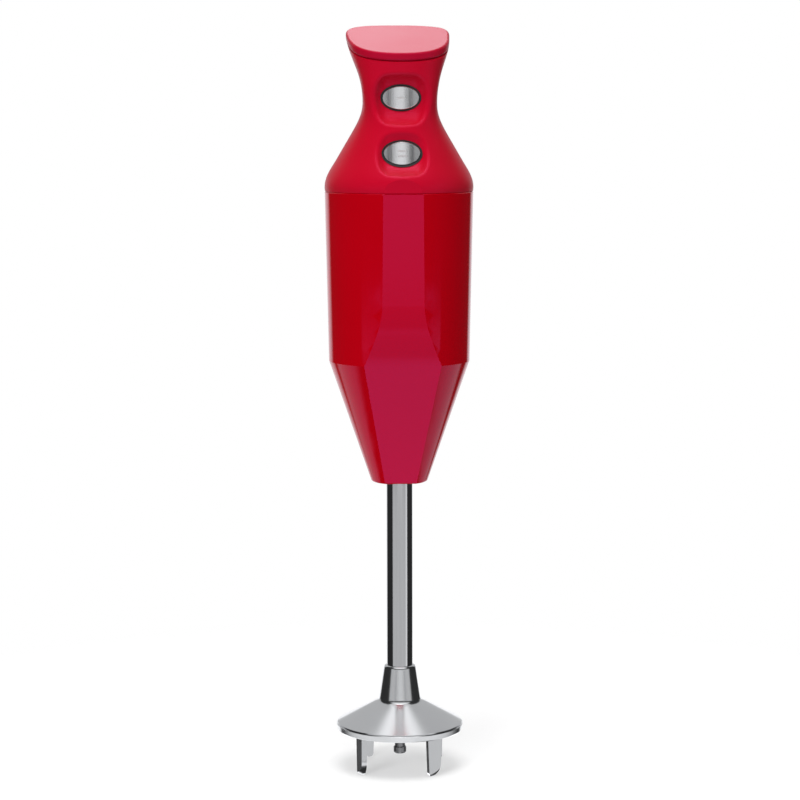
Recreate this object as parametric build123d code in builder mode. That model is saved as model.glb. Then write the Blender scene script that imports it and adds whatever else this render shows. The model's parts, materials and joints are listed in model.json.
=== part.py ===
from build123d import *

import os
from math import copysign, cos, radians, sin

# A stick blender with a motor body, a waisted two-button handle, a steel shaft tube and a pronged guard.
# Millimetres, +Z up. The origin is on the drive axis, level with the tips of the guard's prongs.
# The buttons face -Y and the cord inlet faces +Y.

os.makedirs("parts", exist_ok=True)

# Clearances
SNUG = 0.02
RUNNING = 0.04

# Motor body: a cone, a shoulder and a nearly straight barrel, with one flat face in front and one behind
NOSE_Z = 133.5
NOSE_R = 12.66
SHOULDER_Z = 189.0
SHOULDER_R = 31.9
SEAM_Z = 265.6
SEAM_R = 33.5
BODY_WALL = 2.4
BODY_FLOOR_Z = 150.0
NOSE_EDGE_R = 1.4
SEAM_CHAMFER = 0.5
SEAM_GROOVE_OUTER = 0.9
SEAM_GROOVE_INNER = 1.9
SEAM_GROOVE_DEPTH = 1.0
NOSE_SEAL_R = 7.6
NOSE_SEAL_TOP_Z = 135.9
SHELF_MIDDLE_Z = 177.5
SHELF_THICKNESS = 3.0
SHELF_BORE_R = 14.0
MOTOR_POST_R = 5.4
MOTOR_POST_LOW_Z = 238.0
MOTOR_PILOT_R = 1.3
MOTOR_PILOT_LOW_Z = 244.0
MOTOR_SCREW_R = 1.25
SCREW_HEAD_R = 2.6
SCREW_HEAD_HEIGHT = 2.0
FLAT_TOP_Y = 32.3
FLAT_BEND_TOP_Y = 31.1
FLAT_BEND_TOP_Z = 216.0
FLAT_BEND_LOW_Y = 26.7
FLAT_BEND_LOW_Z = 188.5
FLAT_NOSE_Y = 10.5
WIDE = 90.0

# Handle stations: height, half width, depth in front, depth behind, Y of the widest point, and how
# square the section is in front and behind (2 is an ellipse)
HANDLE_STATIONS = [
    (SEAM_Z, 33.35, 33.35, 33.35, 0.0, 2.0, 2.0),
    (269.0, 33.4, 33.2, 33.2, 0.0, 2.0, 2.0),
    (272.8, 32.25, 31.9, 31.6, 0.0, 2.0, 2.0),
    (278.0, 29.3, 29.0, 28.4, -0.5, 2.05, 2.0),
    (285.6, 24.8, 25.0, 24.0, -1.0, 2.15, 2.0),
    (292.8, 20.6, 22.0, 20.8, -1.5, 2.3, 2.0),
    (299.0, 17.65, 20.4, 18.8, -4.0, 2.4, 2.0),
    (305.3, 16.6, 19.7, 18.0, -7.5, 2.5, 2.1),
    (312.4, 17.2, 19.3, 17.9, -8.0, 2.5, 2.2),
    (319.5, 19.0, 19.3, 18.2, -5.5, 2.4, 2.4),
    (326.6, 21.55, 19.6, 18.7, -1.5, 2.3, 2.7),
    (332.0, 23.0, 19.9, 19.0, 4.0, 2.2, 3.0),
    (337.0, 23.2, 20.1, 19.2, 7.5, 2.1, 3.1),
    (343.0, 23.2, 20.1, 19.3, 8.0, 2.1, 3.1),
]
SECTION_STEP = 15
HANDLE_WALL = 3.0
HANDLE_FLAT_Y = 32.4

# Sloping top: the cap is a slab between two parallel planes that fall towards the front
TOP_TILT = 19.3
TOP_FRONT_Y = -19.5
TOP_FRONT_Z = 326.7
CAP_THICKNESS = 3.7
CAP_EDGE_R = 1.1
CAP_GROOVE_DEPTH = 0.3
CAP_GROOVE_HEIGHT = 0.3
CAP_SPIGOT = 3.0

# Buttons
BUTTON_HALF_WIDTH = 8.25
BUTTON_HALF_HEIGHT = 5.15
BUTTON_CURVE_R = 20.0
BUTTON_DEPTH = 5.6
BUTTON_TRAVEL = 1.6
MARK_LENGTH = 3.8
MARK_WIDTH = 0.85
MARK_SPACING = 2.2
MARK_PROUD = 0.4
FLANGE_REACH = 1.3
FLANGE_THICKNESS = 1.0
FACE_EDGE_R = 0.4
STEM_R = 2.0
STEM_END_Y = -2.2
SEAL_WIDTH = 0.75
SEAL_PROUD = 0.25
SPRING_LENGTH = 5.6
SPRING_GAP = 0.3
SPRING_WIRE = 0.9
# Each button: name, height, front of the face, and the scoop's axis height, axis Y and radius
BUTTONS = [
    ("speed_1", 307.2, -15.8, 306.9, -26.6, 13.0),
    ("speed_2", 282.8, -24.2, 287.3, -36.4, 15.0),
]
SCOOP_HALF_WIDTH = 12.9
SCOOP_END_R = 7.0
SCOOP_LIP_R = 2.4
SCOOP_WALL = 2.4
EDGE_PROBE = 0.37

# Switch unit
BRACKET_FRONT_Y = -3.6
BRACKET_BACK_Y = -2.0
BOARD_FRONT_Y = 5.6
BOARD_BACK_Y = 7.2
BOARD_LOW_Z = 272.0
BOARD_TOP_Z = 316.0
BOARD_HALF_WIDTH = 10.5
SWITCH_FRONT_Y = -0.3
PLUNGER_R = 1.2
POST_R = 3.0
POST_HEIGHTS = (270.0, 294.8)
POST_PILOT_R = 1.3
BRACKET_LOW_EDGE_Z = 267.0
BRACKET_HOLE_R = 1.6
BRACKET_SCREW_R = 1.25
BRACKET_SCREW_HEAD_R = 2.4
BRACKET_SCREW_HEAD = 1.6
SEAT_WALL = 2.4
STANDOFF_R = 1.8
BOARD_HOLE_R = 0.95
BOARD_PILOT_R = 0.9
BOARD_SCREW_R = 0.85
BOARD_SCREW_HEAD = 1.4
SWITCH_WIDTH = 12.8
SWITCH_HEIGHT = 6.5
PLUNGER_END_Y = 0.8

# Drive line
SHAFT_R = 2.35
KNOB_R = 2.9
KNOB_LOW_Z = 6.4
KNOB_TOP_Z = 9.7
SHAFT_TOP_Z = 162.5
MOTOR_SHAFT_R = 2.5
MOTOR_SHAFT_LOW_Z = 171.5
MOTOR_SHAFT_TOP_Z = 262.0
COUPLING_R = 7.0
COUPLING_LOW_Z = 157.0
COUPLING_MIDDLE = 4.0
COUPLING_HUB = 8.0
TONGUE = 2.0

# Shaft tube
TUBE_R = 6.0
TUBE_BORE_R = 5.1
TUBE_LOW_Z = 34.0
TUBE_TOP_Z = 153.0
TUBE_FLANGE_R = 12.7
TUBE_SCREW_CIRCLE_R = 10.0
TUBE_SCREW_COUNT = 3
TUBE_SCREW_R = 1.45
TUBE_SCREW_HOLE_R = 1.7
TUBE_SCREW_LOW_Z = 142.0
CROSS_LENGTH = 3.2
CROSS_WIDTH = 0.8
SHAFT_SEAL_R = 4.5
SHAFT_SEAL_LOW_Z = 30.9
LOWER_BUSH_TOP_Z = 46.0
UPPER_BUSH_LOW_Z = 140.0

# Guard
RIM_R = 29.1
RIM_TAPER = 0.25
RIM_EDGE = 0.3
RIM_LOW_Z = 18.4
RIM_TOP_Z = 21.2
CONE_LOW_R = 28.5
CONE_LOW_Z = 21.7
COLLAR_LOW_R = 9.7
COLLAR_LOW_Z = 31.9
COLLAR_TOP_R = 7.4
COLLAR_TOP_Z = 48.2
COLLAR_FOOT_R = 2.6
COLLAR_LIP_WIDTH = 1.0
COLLAR_LIP_HEIGHT = 1.2
HOLLOW_R = 27.2
HOLLOW_RISE = 1.6
PRONG_COUNT = 4
PRONG_FIRST_ANGLE = 37.5
PRONG_CIRCLE_R = 23.2
PRONG_SKEW = -18.0
PRONG_HALF_WIDTH = 3.35
PRONG_THICKNESS = 2.6
PRONG_TOP_Z = 23.2
PRONG_TIP_X = -0.65
PRONG_TIP_HALF_WIDTH = 1.85
PRONG_SHORT_RISE = 1.9
PRONG_LONG_RISE = 7.5
PRONG_TURN = ((23.0, 0), (24.9, 2.6), (25.9, 7.5))
PRONG_ROOT_R = 28.5
PRONG_ROOT_Z = 14.0

# Motor
STATOR_LOW_Z = 196.0
STATOR_TOP_Z = 231.0
STATOR_R = 28.5
STATOR_DEPTH = 47.0
STATOR_BORE_R = 13.6
ARMATURE_R = 13.1
POLE_HALF_HEIGHT = 9.5
BOLT_X = 12.0
BOLT_Y = 19.8
BOLT_R = 1.45
BOLT_HOLE_R = 1.55
BOLT_POST_R = 2.8
BEARING_HOUSE_R = 10.5
BEARING_R = 8.0
BEARING_WIDTH = 5.0
LOWER_BEARING_Z = 181.5
UPPER_BEARING_Z = 255.0
COMMUTATOR_R = 9.0
COMMUTATOR_LOW_Z = 241.0
COMMUTATOR_TOP_Z = 252.0
BRUSH_Z = 247.0
BRUSH_WIDTH = 5.0
BRUSH_HEIGHT = 6.0
HOLDER_WIDTH = 8.4
HOLDER_HEIGHT = 9.4
BRACKET_LOW_Z = 185.0
BRACKET_TOP_Z = 258.0
BRACKET_PLATE = 3.0
MOTOR_SCREW_CIRCLE_R = 26.0
MOTOR_SCREW_ANGLES = (135, 315)

# Cord inlet
INLET_Z = 322.0
INLET_BORE_R = 3.5
INLET_R = 5.0
INLET_FLANGE_R = 6.6
INLET_FLANGE = 2.0
INLET_INNER_Y = 10.5
INLET_OUTER_Y = 21.0


def save(builder, name):
    """Label a finished piece and write it to its own file."""
    builder.part.label = name
    export_step(builder.part, f"parts/{name}.step")


def middle(low, high):
    """Half way between two values."""
    return (low + high) / 2


def front_plane(y, z):
    """A sketch plane at depth y that faces the front, with its up direction along +Z."""
    return Plane(origin=(0, y, z), x_dir=(1, 0, 0), z_dir=(0, -1, 0))


def ring_piece(outer_r, inner_r, low_z, high_z):
    """A plain ring around the drive axis."""
    with BuildPart() as ring:
        with BuildSketch(Plane.XY.offset(low_z)):
            Circle(outer_r)
            Circle(inner_r, mode=Mode.SUBTRACT)
        extrude(amount=high_z - low_z)
    return ring


def rods(places, radius, low_z, high_z):
    """Upright rods of one radius at several places."""
    with BuildPart() as group:
        with BuildSketch(Plane.XY.offset(low_z)):
            with Locations(*places):
                Circle(radius)
        extrude(amount=high_z - low_z)
    return group.part


def motor_body_form(inset, floor_z):
    """The motor body's outer shape with every wall moved in by the inset."""
    slope = (SHOULDER_R - NOSE_R) / (SHOULDER_Z - NOSE_Z)
    floor_r = NOSE_R + slope * (floor_z - NOSE_Z) - inset
    with BuildPart() as form:
        with BuildSketch(Plane.XZ):
            with BuildLine():
                Polyline(
                    (0, floor_z),
                    (floor_r, floor_z),
                    (SHOULDER_R - inset, SHOULDER_Z),
                    (SEAM_R - inset, SEAM_Z),
                    (0, SEAM_Z),
                    close=True,
                )
            make_face()
        revolve(axis=Axis.Z)
        with BuildSketch(Plane.YZ):
            with BuildLine():
                barrel = Line((inset - FLAT_TOP_Y, SEAM_Z), (inset - FLAT_BEND_TOP_Y, FLAT_BEND_TOP_Z))
                bend_end = (inset - FLAT_BEND_LOW_Y, FLAT_BEND_LOW_Z)
                bend = TangentArc(barrel @ 1, bend_end, tangent=barrel % 1)
                Polyline(bend @ 1, (inset - FLAT_NOSE_Y, NOSE_Z), (0, NOSE_Z))
                mirror(about=Plane.YZ)
                Line((inset - FLAT_TOP_Y, SEAM_Z), (FLAT_TOP_Y - inset, SEAM_Z))
            make_face()
        extrude(amount=WIDE / 2, both=True, mode=Mode.INTERSECT)
    return form.part


def body_ring(outer_inset, inner_inset, low_z, high_z):
    """A band that follows the motor body's outline between two insets and two heights."""
    with BuildPart() as band:
        add(motor_body_form(outer_inset, BODY_FLOOR_Z))
        add(motor_body_form(inner_inset, BODY_FLOOR_Z), mode=Mode.SUBTRACT)
        with Locations((0, 0, middle(low_z, high_z))):
            Box(WIDE, WIDE, high_z - low_z, mode=Mode.INTERSECT)
    return band


def section_point(angle, half_width, behind, ahead, widest_y, square_front, square_back):
    """A point on a rounded section whose front and back halves have their own depth and squareness."""
    across, along = cos(radians(angle)), sin(radians(angle))
    depth, power = (behind, 2 / square_back) if along >= 0 else (ahead, 2 / square_front)
    x = copysign(abs(across) ** power, across) * half_width
    return (x, widest_y + copysign(abs(along) ** power, along) * depth)


def handle_form(inset):
    """The handle's outer shape up past its top, with every wall moved in by the inset."""
    with BuildPart() as form:
        for z, half_width, front, back, widest_y, square_front, square_back in HANDLE_STATIONS:
            behind = back - widest_y - inset
            ahead = front + widest_y - inset
            sizes = (half_width - inset, behind, ahead, widest_y, square_front, square_back)
            points = [section_point(angle, *sizes) for angle in range(0, 360, SECTION_STEP)]
            with BuildSketch(Plane.XY.offset(z)):
                with BuildLine():
                    Spline(*points, periodic=True)
                make_face()
        loft()
        with Locations((0, 0, SEAM_Z)):
            Box(WIDE, 2 * (HANDLE_FLAT_Y - inset), 2 * WIDE, mode=Mode.INTERSECT)
    return form.part


def top_plane(depth):
    """The sloping top plane, moved down along its normal by the depth."""
    tilt = radians(TOP_TILT)
    normal = Vector(0, -sin(tilt), cos(tilt))
    origin = Vector(0, TOP_FRONT_Y, TOP_FRONT_Z) - normal * depth
    return Plane(origin=origin, x_dir=(1, 0, 0), z_dir=normal)


def finger_scoop(axis_y, axis_z, radius, grow=0.0):
    """A drum with rounded ends that lies across the handle and hollows out one finger scoop."""
    with BuildPart() as scoop:
        half_width, reach, end_r = SCOOP_HALF_WIDTH + grow, radius + grow, SCOOP_END_R + grow
        with BuildSketch(front_plane(axis_y, axis_z)):
            with BuildLine():
                right = CenterArc((half_width - end_r, reach - end_r), end_r, 0, 90)
                left = CenterArc((end_r - half_width, reach - end_r), end_r, 90, 90)
                Line(right @ 1, left @ 0)
                Polyline(left @ 1, (-half_width, 0), (half_width, 0), right @ 0)
            make_face()
        revolve(axis=Axis((0, axis_y, axis_z), (1, 0, 0)))
    return scoop.part


def on_skin_of(shape, point):
    """Whether a point lies on one of a shape's faces."""
    return min(face.distance_to(point) for face in shape.faces()) < SNUG / 2


# ---------------------------------------------------------------- guard

with BuildPart() as prongs:
    for index in range(PRONG_COUNT):
        place = radians(PRONG_FIRST_ANGLE + 360 / PRONG_COUNT * index)
        facing = place + radians(PRONG_SKEW)
        normal = Vector(cos(facing), sin(facing), 0)
        centre = Vector(PRONG_CIRCLE_R * cos(place), PRONG_CIRCLE_R * sin(place), 0)
        across = Vector(-sin(facing), cos(facing), 0)
        with BuildSketch(Plane(centre - normal * (PRONG_THICKNESS / 2), x_dir=across, z_dir=normal)):
            with BuildLine():
                short_side = EllipticalCenterArc(
                    (PRONG_TIP_X, PRONG_SHORT_RISE),
                    PRONG_TIP_HALF_WIDTH,
                    PRONG_SHORT_RISE,
                    180,
                    arc_size=90,
                )
                long_side = EllipticalCenterArc(
                    (PRONG_TIP_X, PRONG_LONG_RISE),
                    PRONG_HALF_WIDTH - PRONG_TIP_X,
                    PRONG_LONG_RISE,
                    270,
                    arc_size=90,
                )
                top_corners = [(PRONG_HALF_WIDTH, PRONG_TOP_Z), (-PRONG_HALF_WIDTH, PRONG_TOP_Z)]
                Polyline(long_side @ 1, *top_corners, short_side @ 0)
            make_face()
        extrude(amount=PRONG_THICKNESS)
    # The tips are turned in towards the axis
    with BuildSketch(Plane.XZ):
        with BuildLine():
            turned = ThreePointArc(*PRONG_TURN)
            root = (PRONG_ROOT_R, PRONG_ROOT_Z)
            Polyline(turned @ 1, root, (PRONG_ROOT_R, PRONG_TOP_Z), (0, PRONG_TOP_Z), (0, 0), turned @ 0)
        make_face()
    revolve(axis=Axis.Z, mode=Mode.INTERSECT)

with BuildPart() as guard:
    with BuildSketch(Plane.XZ):
        with BuildLine():
            Polyline(
                (0, RIM_LOW_Z),
                (RIM_R - RIM_TAPER - RIM_EDGE, RIM_LOW_Z),
                (RIM_R - RIM_TAPER, RIM_LOW_Z + RIM_EDGE),
                (RIM_R, RIM_TOP_Z - RIM_EDGE),
                (RIM_R - RIM_EDGE, RIM_TOP_Z),
                (CONE_LOW_R - RIM_EDGE, RIM_TOP_Z),
                (CONE_LOW_R - RIM_EDGE, CONE_LOW_Z - 0.1),
                (CONE_LOW_R, CONE_LOW_Z),
            )
            cone = Line((CONE_LOW_R, CONE_LOW_Z), (COLLAR_LOW_R, COLLAR_LOW_Z))
            collar = Line(cone @ 1, (COLLAR_TOP_R, COLLAR_TOP_Z - COLLAR_LIP_HEIGHT))
            lip = TangentArc(collar @ 1, (COLLAR_TOP_R - COLLAR_LIP_WIDTH, COLLAR_TOP_Z), tangent=collar % 1)
            Polyline(lip @ 1, (0, COLLAR_TOP_Z), (0, RIM_LOW_Z))
        make_face()
    revolve(axis=Axis.Z)
    neck_edge = edges().filter_by(GeomType.CIRCLE).sort_by_distance((0, COLLAR_LOW_R, COLLAR_LOW_Z))[0]
    fillet(neck_edge, COLLAR_FOOT_R)
    with BuildSketch(Plane.XZ):
        with BuildLine():
            Polyline(
                (0, RIM_LOW_Z - 1),
                (HOLLOW_R, RIM_LOW_Z - 1),
                (HOLLOW_R, RIM_TOP_Z - HOLLOW_RISE),
                (COLLAR_LOW_R - 0.6, COLLAR_LOW_Z - HOLLOW_RISE),
                (0, COLLAR_LOW_Z - HOLLOW_RISE),
                close=True,
            )
        make_face()
    revolve(axis=Axis.Z, mode=Mode.SUBTRACT)
    add(prongs.part)
    with Locations((0, 0, middle(TUBE_LOW_Z, COLLAR_TOP_Z + 2))):
        Cylinder(TUBE_R + SNUG, COLLAR_TOP_Z + 2 - TUBE_LOW_Z, mode=Mode.SUBTRACT)
    with Locations((0, 0, TUBE_LOW_Z)):
        Cylinder(SHAFT_SEAL_R, 12, mode=Mode.SUBTRACT)
save(guard, "guard")

# ---------------------------------------------------------------- shaft tube and its fittings

shaft_tube = ring_piece(TUBE_R, TUBE_BORE_R, TUBE_LOW_Z + SNUG, TUBE_TOP_Z)
save(shaft_tube, "shaft_tube")

shaft_seal = ring_piece(SHAFT_SEAL_R - SNUG, SHAFT_R + SNUG, SHAFT_SEAL_LOW_Z, TUBE_LOW_Z - SNUG)
save(shaft_seal, "shaft_seal")

lower_bush = ring_piece(TUBE_BORE_R - SNUG, SHAFT_R + RUNNING, TUBE_LOW_Z + 1, LOWER_BUSH_TOP_Z)
save(lower_bush, "lower_bush")

upper_bush = ring_piece(TUBE_BORE_R - SNUG, SHAFT_R + RUNNING, UPPER_BUSH_LOW_Z, TUBE_TOP_Z - 1)
save(upper_bush, "upper_bush")

nose_seal = ring_piece(NOSE_SEAL_R, TUBE_R + SNUG, NOSE_Z + 0.5, NOSE_SEAL_TOP_Z)
save(nose_seal, "nose_seal")

with BuildPart() as tube_flange:
    with BuildSketch(Plane.XY.offset(BODY_FLOOR_Z + SNUG)):
        Circle(TUBE_FLANGE_R)
        Circle(TUBE_R + SNUG, mode=Mode.SUBTRACT)
        with PolarLocations(TUBE_SCREW_CIRCLE_R, TUBE_SCREW_COUNT):
            Circle(TUBE_SCREW_HOLE_R, mode=Mode.SUBTRACT)
    extrude(amount=TUBE_TOP_Z - BODY_FLOOR_Z - SNUG)
save(tube_flange, "tube_flange")

with BuildPart() as tube_screws:
    with BuildSketch(Plane.XY.offset(TUBE_SCREW_LOW_Z)):
        with PolarLocations(TUBE_SCREW_CIRCLE_R, TUBE_SCREW_COUNT):
            Circle(TUBE_SCREW_R)
    extrude(amount=TUBE_TOP_Z + SNUG - TUBE_SCREW_LOW_Z)
    with BuildSketch(Plane.XY.offset(TUBE_TOP_Z + SNUG)):
        with PolarLocations(TUBE_SCREW_CIRCLE_R, TUBE_SCREW_COUNT):
            Circle(SCREW_HEAD_R)
    extrude(amount=SCREW_HEAD_HEIGHT)
    with BuildSketch(Plane.XY.offset(TUBE_TOP_Z + SCREW_HEAD_HEIGHT / 2)):
        with PolarLocations(TUBE_SCREW_CIRCLE_R, TUBE_SCREW_COUNT):
            Rectangle(CROSS_LENGTH, CROSS_WIDTH)
            Rectangle(CROSS_WIDTH, CROSS_LENGTH)
    extrude(amount=SCREW_HEAD_HEIGHT, mode=Mode.SUBTRACT)
save(tube_screws, "tube_screws")

# ---------------------------------------------------------------- lower housing

with BuildPart() as bracket_shelf:
    add(motor_body_form(BODY_WALL - 0.2, BODY_FLOOR_Z))
    with Locations((0, 0, SHELF_MIDDLE_Z)):
        Box(WIDE, WIDE, SHELF_THICKNESS, mode=Mode.INTERSECT)
        Cylinder(SHELF_BORE_R, 2 * SHELF_THICKNESS, mode=Mode.SUBTRACT)

screw_places = [
    (MOTOR_SCREW_CIRCLE_R * cos(radians(a)), MOTOR_SCREW_CIRCLE_R * sin(radians(a)))
    for a in MOTOR_SCREW_ANGLES
]

with BuildPart() as lower_housing:
    add(motor_body_form(0, NOSE_Z))
    fillet(edges().group_by(Axis.Z)[0], NOSE_EDGE_R)
    chamfer(edges().group_by(Axis.Z)[-1], SEAM_CHAMFER)
    add(motor_body_form(BODY_WALL, BODY_FLOOR_Z), mode=Mode.SUBTRACT)
    add(bracket_shelf.part)
    add(rods(screw_places, MOTOR_POST_R, MOTOR_POST_LOW_Z, BRACKET_TOP_Z - SNUG))
    add(rods(screw_places, MOTOR_PILOT_R, MOTOR_PILOT_LOW_Z, BRACKET_TOP_Z), mode=Mode.SUBTRACT)
    add(
        body_ring(SEAM_GROOVE_OUTER, SEAM_GROOVE_INNER, SEAM_Z - SEAM_GROOVE_DEPTH, SEAM_Z).part,
        mode=Mode.SUBTRACT,
    )
    with Locations((0, 0, NOSE_Z)):
        Cylinder(TUBE_R + SNUG, 60, mode=Mode.SUBTRACT)
        Cylinder(NOSE_SEAL_R + SNUG, 2 * (NOSE_SEAL_TOP_Z - NOSE_Z + SNUG), mode=Mode.SUBTRACT)
    with BuildSketch(Plane.XY.offset(TUBE_SCREW_LOW_Z - 1)):
        with PolarLocations(TUBE_SCREW_CIRCLE_R, TUBE_SCREW_COUNT):
            Circle(TUBE_SCREW_R + SNUG)
    extrude(amount=12, mode=Mode.SUBTRACT)
save(lower_housing, "lower_housing")

seam_gasket = body_ring(
    SEAM_GROOVE_OUTER + SNUG,
    SEAM_GROOVE_INNER - SNUG,
    SEAM_Z - SEAM_GROOVE_DEPTH + SNUG,
    SEAM_Z - SNUG,
)
save(seam_gasket, "seam_gasket")

# ---------------------------------------------------------------- handle housing and top cap

seam_plane = top_plane(CAP_THICKNESS)

with BuildPart() as handle_cavity:
    add(handle_form(HANDLE_WALL))
    for name, button_z, face_y, axis_z, axis_y, radius in BUTTONS:
        add(finger_scoop(axis_y, axis_z, radius, SCOOP_WALL), mode=Mode.SUBTRACT)

with BuildPart() as handle_posts:
    add(handle_form(HANDLE_WALL / 2))
    with BuildSketch(Plane.XZ.offset(-BRACKET_FRONT_Y + SNUG)):
        with Locations(*[(0, z) for z in POST_HEIGHTS]):
            Circle(POST_R)
    extrude(amount=WIDE / 2, mode=Mode.INTERSECT)
    for name, button_z, face_y, axis_z, axis_y, radius in BUTTONS:
        add(finger_scoop(axis_y, axis_z, radius, SCOOP_WALL / 2), mode=Mode.SUBTRACT)

with BuildPart() as handle_shell:
    add(handle_form(0))
    for name, button_z, face_y, axis_z, axis_y, radius in BUTTONS:
        uncut = handle_shell.part
        drum = finger_scoop(axis_y, axis_z, radius)
        add(drum, mode=Mode.SUBTRACT)
        probes = [(edge, edge @ EDGE_PROBE) for edge in edges()]
        lip = [edge for edge, point in probes if on_skin_of(uncut, point) and on_skin_of(drum, point)]
        fillet(lip, SCOOP_LIP_R)

with BuildPart() as cap_groove:
    add(handle_form(-1))
    add(handle_form(CAP_GROOVE_DEPTH), mode=Mode.SUBTRACT)
    split(bisect_by=top_plane(CAP_THICKNESS + CAP_GROOVE_HEIGHT), keep=Keep.TOP)
    split(bisect_by=top_plane(CAP_THICKNESS - CAP_GROOVE_HEIGHT), keep=Keep.BOTTOM)

with BuildPart() as handle_housing:
    add(handle_shell.part)
    add(cap_groove.part, mode=Mode.SUBTRACT)
    add(handle_cavity.part, mode=Mode.SUBTRACT)
    add(handle_posts.part)
    add(body_ring(BODY_WALL + 0.1, BODY_WALL + 1.8, 262.0, SEAM_Z).part)
    with BuildSketch(Plane.XZ.offset(-BRACKET_FRONT_Y)):
        with Locations(*[(0, z) for z in POST_HEIGHTS]):
            Circle(POST_PILOT_R)
    extrude(amount=9, mode=Mode.SUBTRACT)
    for name, button_z, face_y, axis_z, axis_y, radius in BUTTONS:
        with BuildSketch(front_plane(face_y + 9, button_z)):
            Ellipse(
                BUTTON_HALF_WIDTH + SEAL_WIDTH + RUNNING + SNUG,
                BUTTON_HALF_HEIGHT + SEAL_WIDTH + RUNNING + SNUG,
            )
        extrude(amount=30, mode=Mode.SUBTRACT)
    with BuildSketch(Plane.XZ.offset(-30)):
        with Locations((0, INLET_Z)):
            Circle(INLET_R + SNUG)
    extrude(amount=20, mode=Mode.SUBTRACT)
    split(bisect_by=seam_plane, keep=Keep.BOTTOM)
save(handle_housing, "handle_housing")

with BuildPart() as cap_spigot:
    add(handle_form(HANDLE_WALL + 0.1))
    add(handle_form(HANDLE_WALL + 1.7), mode=Mode.SUBTRACT)
    split(bisect_by=top_plane(CAP_THICKNESS + CAP_SPIGOT), keep=Keep.TOP)
    split(bisect_by=top_plane(CAP_THICKNESS / 2), keep=Keep.BOTTOM)

with BuildPart() as top_cap:
    add(handle_form(0))
    split(bisect_by=top_plane(CAP_THICKNESS - SNUG), keep=Keep.TOP)
    split(bisect_by=top_plane(0), keep=Keep.BOTTOM)
    fillet(faces().filter_by(top_plane(0)).edges(), CAP_EDGE_R)
    add(cap_spigot.part)
save(top_cap, "top_cap")

with BuildPart() as cord_gland:
    with BuildSketch(Plane.XZ.offset(-INLET_INNER_Y)):
        with Locations((0, INLET_Z)):
            Circle(INLET_FLANGE_R)
    extrude(amount=-INLET_FLANGE)
    with BuildSketch(Plane.XZ.offset(-INLET_INNER_Y)):
        with Locations((0, INLET_Z)):
            Circle(INLET_R)
    extrude(amount=INLET_INNER_Y - INLET_OUTER_Y)
    with BuildSketch(Plane.XZ.offset(-INLET_INNER_Y)):
        with Locations((0, INLET_Z)):
            Circle(INLET_BORE_R)
    extrude(amount=INLET_INNER_Y - INLET_OUTER_Y, mode=Mode.SUBTRACT)
save(cord_gland, "cord_gland")

# ---------------------------------------------------------------- buttons

for name, button_z, face_y, axis_z, axis_y, radius in BUTTONS:
    flange_front_y = face_y + BUTTON_DEPTH
    flange_back_y = flange_front_y + FLANGE_THICKNESS
    mark_heights = (0.0,) if name == "speed_1" else (-MARK_SPACING / 2, MARK_SPACING / 2)

    with BuildPart() as button:
        with BuildSketch(front_plane(flange_back_y, button_z)):
            Ellipse(BUTTON_HALF_WIDTH, BUTTON_HALF_HEIGHT)
        extrude(amount=BUTTON_DEPTH + FLANGE_THICKNESS + 1)
        with Locations((0, face_y + BUTTON_CURVE_R, button_z)):
            Cylinder(BUTTON_CURVE_R, 4 * BUTTON_HALF_HEIGHT, mode=Mode.INTERSECT)
        rim = faces().sort_by(Axis.Y)[0].edges()
        fillet(rim, FACE_EDGE_R)
        with BuildSketch(front_plane(face_y + 1, button_z)):
            with Locations(*[(0, height) for height in mark_heights]):
                SlotOverall(MARK_LENGTH, MARK_WIDTH)
        extrude(amount=1 + MARK_PROUD)
        with BuildSketch(front_plane(flange_back_y, button_z)):
            Ellipse(BUTTON_HALF_WIDTH + FLANGE_REACH, BUTTON_HALF_HEIGHT + FLANGE_REACH)
        extrude(amount=FLANGE_THICKNESS)
        with BuildSketch(front_plane(STEM_END_Y, button_z)):
            Circle(STEM_R)
        extrude(amount=STEM_END_Y - flange_back_y)
    save(button, f"button_{name}")

    with BuildPart() as seal:
        with BuildSketch(front_plane(flange_front_y - 0.1, button_z)):
            Ellipse(
                BUTTON_HALF_WIDTH + SEAL_WIDTH + RUNNING,
                BUTTON_HALF_HEIGHT + SEAL_WIDTH + RUNNING,
            )
            Ellipse(BUTTON_HALF_WIDTH + RUNNING, BUTTON_HALF_HEIGHT + RUNNING, mode=Mode.SUBTRACT)
        extrude(amount=2 * BUTTON_DEPTH)
        add(finger_scoop(axis_y, axis_z, radius, -SEAL_PROUD), mode=Mode.SUBTRACT)
    save(seal, f"seal_{name}")

    with BuildPart() as spring:
        with BuildSketch(front_plane(flange_back_y + SPRING_LENGTH - SNUG, button_z)):
            Circle(STEM_R + SPRING_GAP + SPRING_WIRE)
            Circle(STEM_R + SPRING_GAP, mode=Mode.SUBTRACT)
        extrude(amount=SPRING_LENGTH - 2 * SNUG)
    save(spring, f"spring_{name}")

# ---------------------------------------------------------------- switch unit

board_height = BOARD_TOP_Z - BOARD_LOW_Z
board_middle_z = middle(BOARD_LOW_Z, BOARD_TOP_Z)
corner_x = BOARD_HALF_WIDTH - 2.0
corner_z = board_height / 2 - 2.2

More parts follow.
